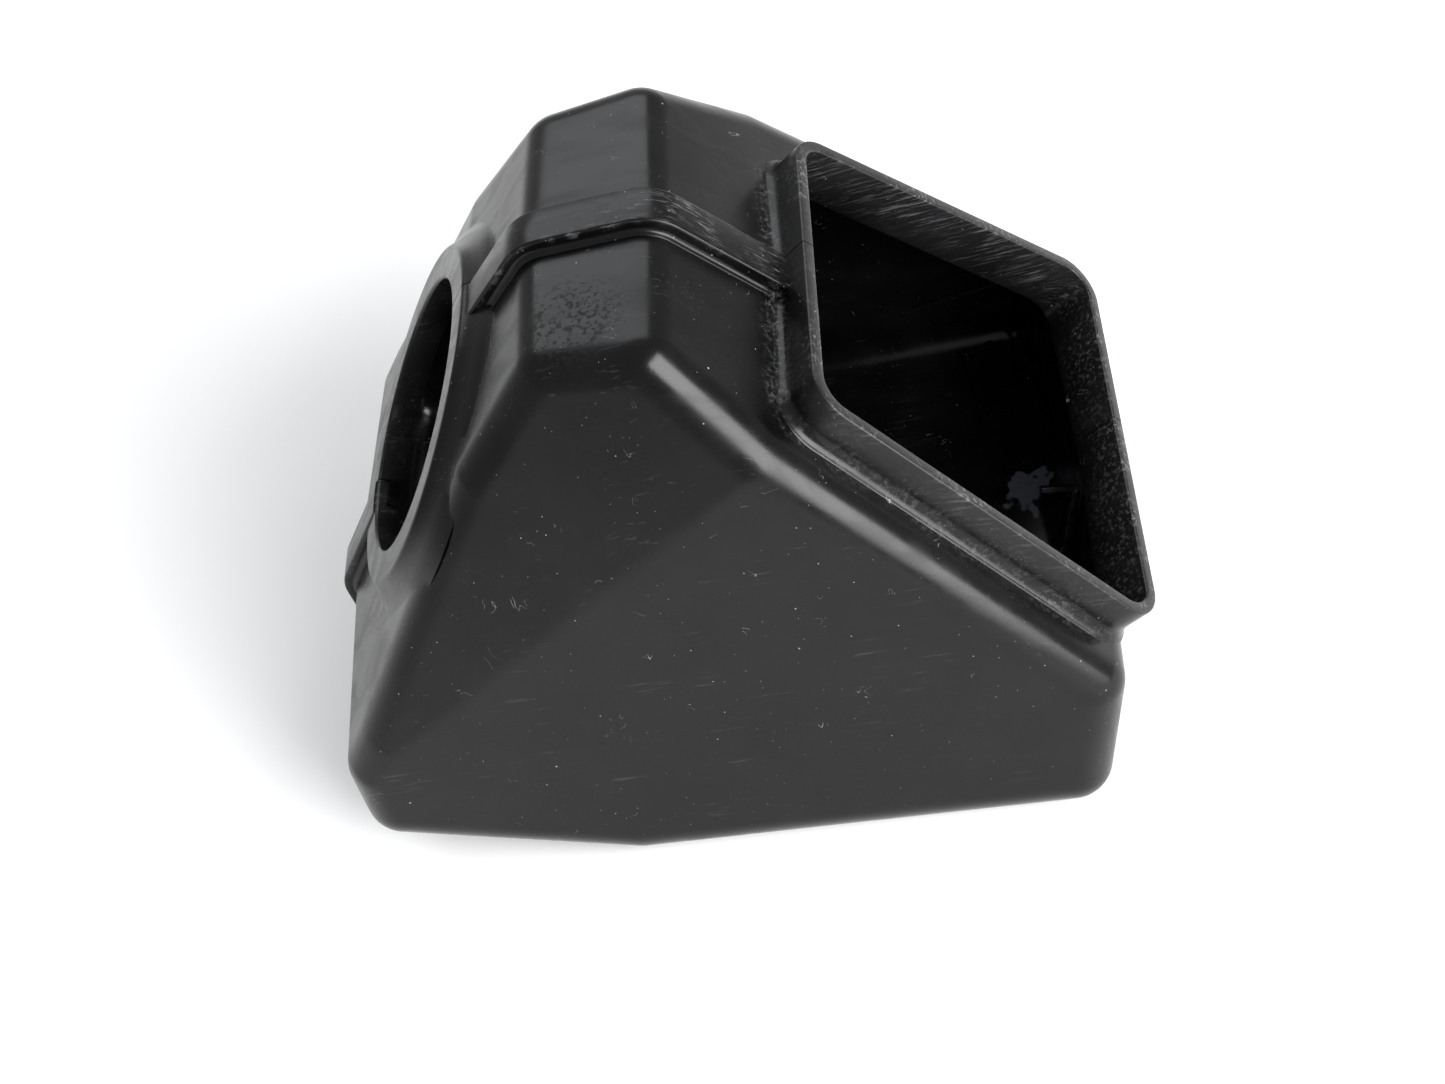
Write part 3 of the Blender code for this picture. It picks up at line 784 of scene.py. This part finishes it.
def near_a_place(tree, place, middle, radius, blur):
    """A soft-edged round mask about a place."""
    away = node(tree, "VectorMath", {"operation": "DISTANCE"})
    give(tree, away.inputs[0], place)
    away.inputs[1].default_value = middle
    return ramp(tree, away.outputs["Value"], radius - blur, radius + blur, 1.0, 0.0)


def black_plastic(name, dark, light, gloss, satin, specks, scratches, marks):
    """The halves' plastic.  marks adds what only one half has to the colour and roughness."""
    material = bpy.data.materials.new(name)
    material.use_nodes = True
    tree = material.node_tree
    shader = tree.nodes["Principled BSDF"]
    shader.inputs["Specular IOR Level"].default_value = 0.26
    shader.inputs["IOR"].default_value = 1.5
    place = node(tree, "TexCoord").outputs["Object"]
    worn = {key: node(tree, "Attribute", {"attribute_name": attribute}).outputs["Fac"]
            for key, attribute in (("Rim", "rim_wear"), ("Corner", "corner_dust"),
                                   ("Throat", "throat_scuffs"), ("Lip", "lip_scuffs"))}
    base = grouped(tree, moulded, Place=place, Waviness=1.0, Grain=1.0)
    dust = grouped(tree, dusty, Place=place, Specks=specks, Scratches=scratches)
    edges = grouped(tree, scuffed, Place=place, **worn)
    colour = blend(tree, base["Mottle"], (*dark, 1), (*light, 1))
    rough = node(tree, "MapRange", None, Value=base["Smear"])
    rough.inputs["To Min"].default_value = gloss
    rough.inputs["To Max"].default_value = satin
    rough = rough.outputs["Result"]
    colour, rough = marks(tree, place, colour, rough)
    colour = blend(tree, sum_of(tree, "MULTIPLY", dust["Scratch"], 0.5), colour, (0.10, 0.10, 0.105, 1))
    colour = blend(tree, sum_of(tree, "MULTIPLY", edges["Scuff"], 0.45), colour, (0.26, 0.26, 0.27, 1))
    colour = blend(tree, sum_of(tree, "MULTIPLY", edges["Powder"], 0.38), colour, (0.40, 0.40, 0.40, 1))
    colour = blend(tree, sum_of(tree, "MULTIPLY", dust["Dust"], 0.6), colour, (0.45, 0.45, 0.45, 1))
    dull = sum_of(tree, "MAXIMUM", sum_of(tree, "MAXIMUM", edges["Powder"], dust["Dust"]),
                  sum_of(tree, "MULTIPLY", edges["Scuff"], 0.6))
    rough = sum_of(tree, "ADD", rough, sum_of(tree, "MULTIPLY", dull, 0.4), clamp=True)
    lift = sum_of(tree, "MULTIPLY", sum_of(tree, "ADD", dust["Scratch"], edges["Scuff"]), -0.03)
    height = sum_of(tree, "ADD", base["Height"], lift)
    bump = node(tree, "Bump", None, Height=height, Strength=1.0, Distance=0.0006)
    tree.links.new(colour, shader.inputs["Base Color"])
    tree.links.new(rough, shader.inputs["Roughness"])
    tree.links.new(bump.outputs["Normal"], shader.inputs["Normal"])
    return material


def near_marks(tree, place, colour, rough):
    """A patch of dark speckles on the top facet, where the mould's surface is etched."""
    patch = near_a_place(tree, place, (-0.032, -0.024, 0.131), 0.009, 0.005)
    spots = ramp(tree, noise(tree, place, 900.0, 4.0, 0.7), 0.50, 0.58)
    mask = sum_of(tree, "MULTIPLY", patch, spots)
    colour = blend(tree, mask, colour, (0.003, 0.003, 0.003, 1))
    return colour, sum_of(tree, "ADD", rough, sum_of(tree, "MULTIPLY", mask, 0.35), clamp=True)


def far_cement_and_painted_reflection(tree, place, colour, rough):
    """A glossy run of spilt cement on the chamber's floor, with a ragged edge; its pale bluish colour is
    a painted reflection of the sky.
    """
    ragged = node(tree, "VectorMath", {"operation": "ADD"})
    shift = node(tree, "VectorMath", {"operation": "MULTIPLY"})
    colours = node(tree, "TexNoise", None, Vector=place, Scale=170.0, Detail=2.0)
    tree.links.new(colours.outputs["Color"], shift.inputs[0])
    shift.inputs[1].default_value = (0.022, 0.022, 0.0)
    tree.links.new(place, ragged.inputs[0])
    tree.links.new(shift.outputs[0], ragged.inputs[1])
    run = near_a_place(tree, ragged.outputs[0], (0.0595, 0.0305, 0.003), 0.0056, 0.0008)
    # Painted reflection: the run's pale bluish colour stands in for the sky mirrored in the cement; its
    # lowered roughness is the cement's real gloss.
    colour = blend(tree, run, colour, (0.10, 0.11, 0.135, 1))
    return colour, sum_of(tree, "SUBTRACT", rough, sum_of(tree, "MULTIPLY", run, 0.12), clamp=True)


# The same compound in two copies: the near half's darker colours are painted shade, and the far half's
# lighter colours are painted light.
near_plastic_painted_shade = black_plastic("near_plastic_painted_shade", (0.0010, 0.0010, 0.0012), (0.0026, 0.0026, 0.0029),
                             0.22, 0.34, 0.9, 0.35, near_marks)
far_plastic_painted_light = black_plastic("far_plastic_painted_light", (0.0016, 0.0016, 0.0018), (0.0040, 0.0040, 0.0044),
                            0.22, 0.34, 0.7, 0.35, far_cement_and_painted_reflection)
for shell, material, body_slot, node_name in (
    (near_shell, near_plastic_painted_shade, "near_shell_plastic", "near_shell"),
    (far_shell, far_plastic_painted_light, "far_shell_plastic", "far_shell"),
):
    shell.data.materials.clear()
    shell.data.materials.append(material)
    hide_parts(node_name)
    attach(shell, "root")

# ---- Cement beads ------------------------------------------------------------------
# Cement is run by hand along the inside corner of the joint, above and below the port and
# the mouth, so each bead swells and thins along its way.

BEAD_RADIUS = 0.0011


def bead(name, keep, seed):
    """A round tube in the seam's plane whose radius varies slowly along its length."""
    steps = outline_steps(1400)
    path, _ = round_outline(steps, EDGE_RADIUS - WALL - JOINT_GAP - BEAD_RADIUS)
    kept = keep(path)
    first = np.where(kept & ~np.roll(kept, 1))[0][0]
    path = path[(first + np.arange(kept.sum())) % len(path)]
    path[:, 1] = SEAM[-1] + JOINT_GAP / 2
    ahead = unit(np.gradient(path, axis=0))
    out = np.cross(ahead, ACROSS_Y)
    random = np.random.default_rng(seed)
    length = np.concatenate([[0], np.cumsum(np.linalg.norm(np.diff(path, axis=0), axis=1))])
    swell = sum(np.sin(length * rate + shift) for rate, shift in
                zip((310.0, 720.0, 1500.0), random.uniform(0, 6, 3))) / 3
    radius = BEAD_RADIUS * (0.86 + 0.13 * swell)
    ends = np.minimum(length, length[-1] - length) / BEAD_RADIUS
    radius = radius * np.sqrt(np.clip(ends, 0.06, 1))
    angle = np.linspace(0, 2 * np.pi, 15)[:-1]
    places = (path[:, None, :] + out[:, None, :] * (np.cos(angle)[None, :, None] * radius[:, None, None])
              + ACROSS_Y * (np.sin(angle)[None, :, None] * radius[:, None, None]))
    made = sweep_closed_profile(name, places)
    made.data.shade_smooth()
    return made


def cement(name):
    material = bpy.data.materials.new(name)
    material.use_nodes = True
    tree = material.node_tree
    shader = tree.nodes["Principled BSDF"]
    place = node(tree, "TexCoord").outputs["Object"]
    cloud = ramp(tree, noise(tree, place, 260.0, 4.0, 0.6), 0.35, 0.7)
    colour = blend(tree, cloud, (0.012, 0.012, 0.013, 1), (0.045, 0.045, 0.047, 1))
    tree.links.new(colour, shader.inputs["Base Color"])
    tree.links.new(ramp(tree, cloud, 0.0, 1.0, 0.30, 0.62), shader.inputs["Roughness"])
    bump = node(tree, "Bump", None, Height=noise(tree, place, 700.0, 3.0), Strength=0.8, Distance=0.0003)
    tree.links.new(bump.outputs["Normal"], shader.inputs["Normal"])
    return material


seam_cement = cement("seam_cement")
for name, replaced, seed, keep in (
    ("top_bead", "top_seam_bead", 4,
     lambda p: (p[:, 0] > -0.0552) & (p[:, 0] < -0.0008) & (p[:, 2] > 0.06)),
    ("bottom_bead", "bottom_seam_bead", 9,
     lambda p: ((p[:, 0] < 0) & (p[:, 2] < 0.0552)) | ((p[:, 0] >= 0) & (p[:, 2] < 0.029))),
):
    run = bead(name, keep, seed)
    run.data.materials.append(seam_cement)
    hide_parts(replaced)
    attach(run, "root")

# ---- Floor, light and camera -------------------------------------------------------
# A pale floor, a white room and soft lights.

floor_mesh = bpy.data.meshes.new("floor")
floor_mesh.from_pydata([(-6, -6, 0), (6, -6, 0), (6, 6, 0), (-6, 6, 0)], [], [(0, 1, 2, 3)])
floor = bpy.data.objects.new("floor", floor_mesh)
bpy.context.scene.collection.objects.link(floor)
pale = bpy.data.materials.new("floor_paper")
pale.use_nodes = True
pale.node_tree.nodes["Principled BSDF"].inputs["Base Color"].default_value = (0.93, 0.93, 0.93, 1)
pale.node_tree.nodes["Principled BSDF"].inputs["Roughness"].default_value = 0.9
floor_mesh.materials.append(pale)

world = bpy.data.worlds.new("room")
bpy.context.scene.world = world
bpy.context.scene.view_settings.view_transform = "Standard"
world.use_nodes = True
world.node_tree.nodes["Background"].inputs["Color"].default_value = (1, 1, 1, 1)
world.node_tree.nodes["Background"].inputs["Strength"].default_value = 0.50


def soft_light(name, towards, distance, size, power, target=(-0.02, 0, 0.06)):
    """A rectangular light, placed out from the target along a direction and facing it."""
    data = bpy.data.lights.new(name, "AREA")
    data.shape = "RECTANGLE"
    data.size, data.size_y = size
    data.energy = power
    lamp = bpy.data.objects.new(name, data)
    way = Vector(towards).normalized()
    lamp.location = Vector(target) + way * distance
    lamp.rotation_mode = "QUATERNION"
    lamp.rotation_quaternion = way.to_track_quat("Z", "Y")
    bpy.context.scene.collection.objects.link(lamp)
    return lamp


soft_light("window", (0.77, -0.55, 0.48), 1.35, (0.95, 1.0), 42)
soft_light("sky", (-0.15, 0.75, 0.85), 1.7, (1.6, 1.0), 13).data.color = (0.94, 0.97, 1.0)

CAMERA_RIGHT = Vector((0.9778, -0.0298, -0.2078))
CAMERA_FORWARD = Vector((-0.1477, 0.6054, -0.7821))
camera_data = bpy.data.cameras.new("camera")
camera_data.lens = 50.0
camera_data.sensor_width = 36.0
camera_data.clip_start = 0.01
camera = bpy.data.objects.new("camera", camera_data)
bpy.context.scene.collection.objects.link(camera)
right = CAMERA_RIGHT.normalized()
forward = (CAMERA_FORWARD - right * CAMERA_FORWARD.dot(right)).normalized()
up = right.cross(forward)
turn = Matrix((right, up, -forward)).transposed()
camera.rotation_mode = "QUATERNION"
camera.rotation_quaternion = turn.to_quaternion()
camera.location = (0.0452, -0.2859, 0.3950)
bpy.context.scene.camera = camera
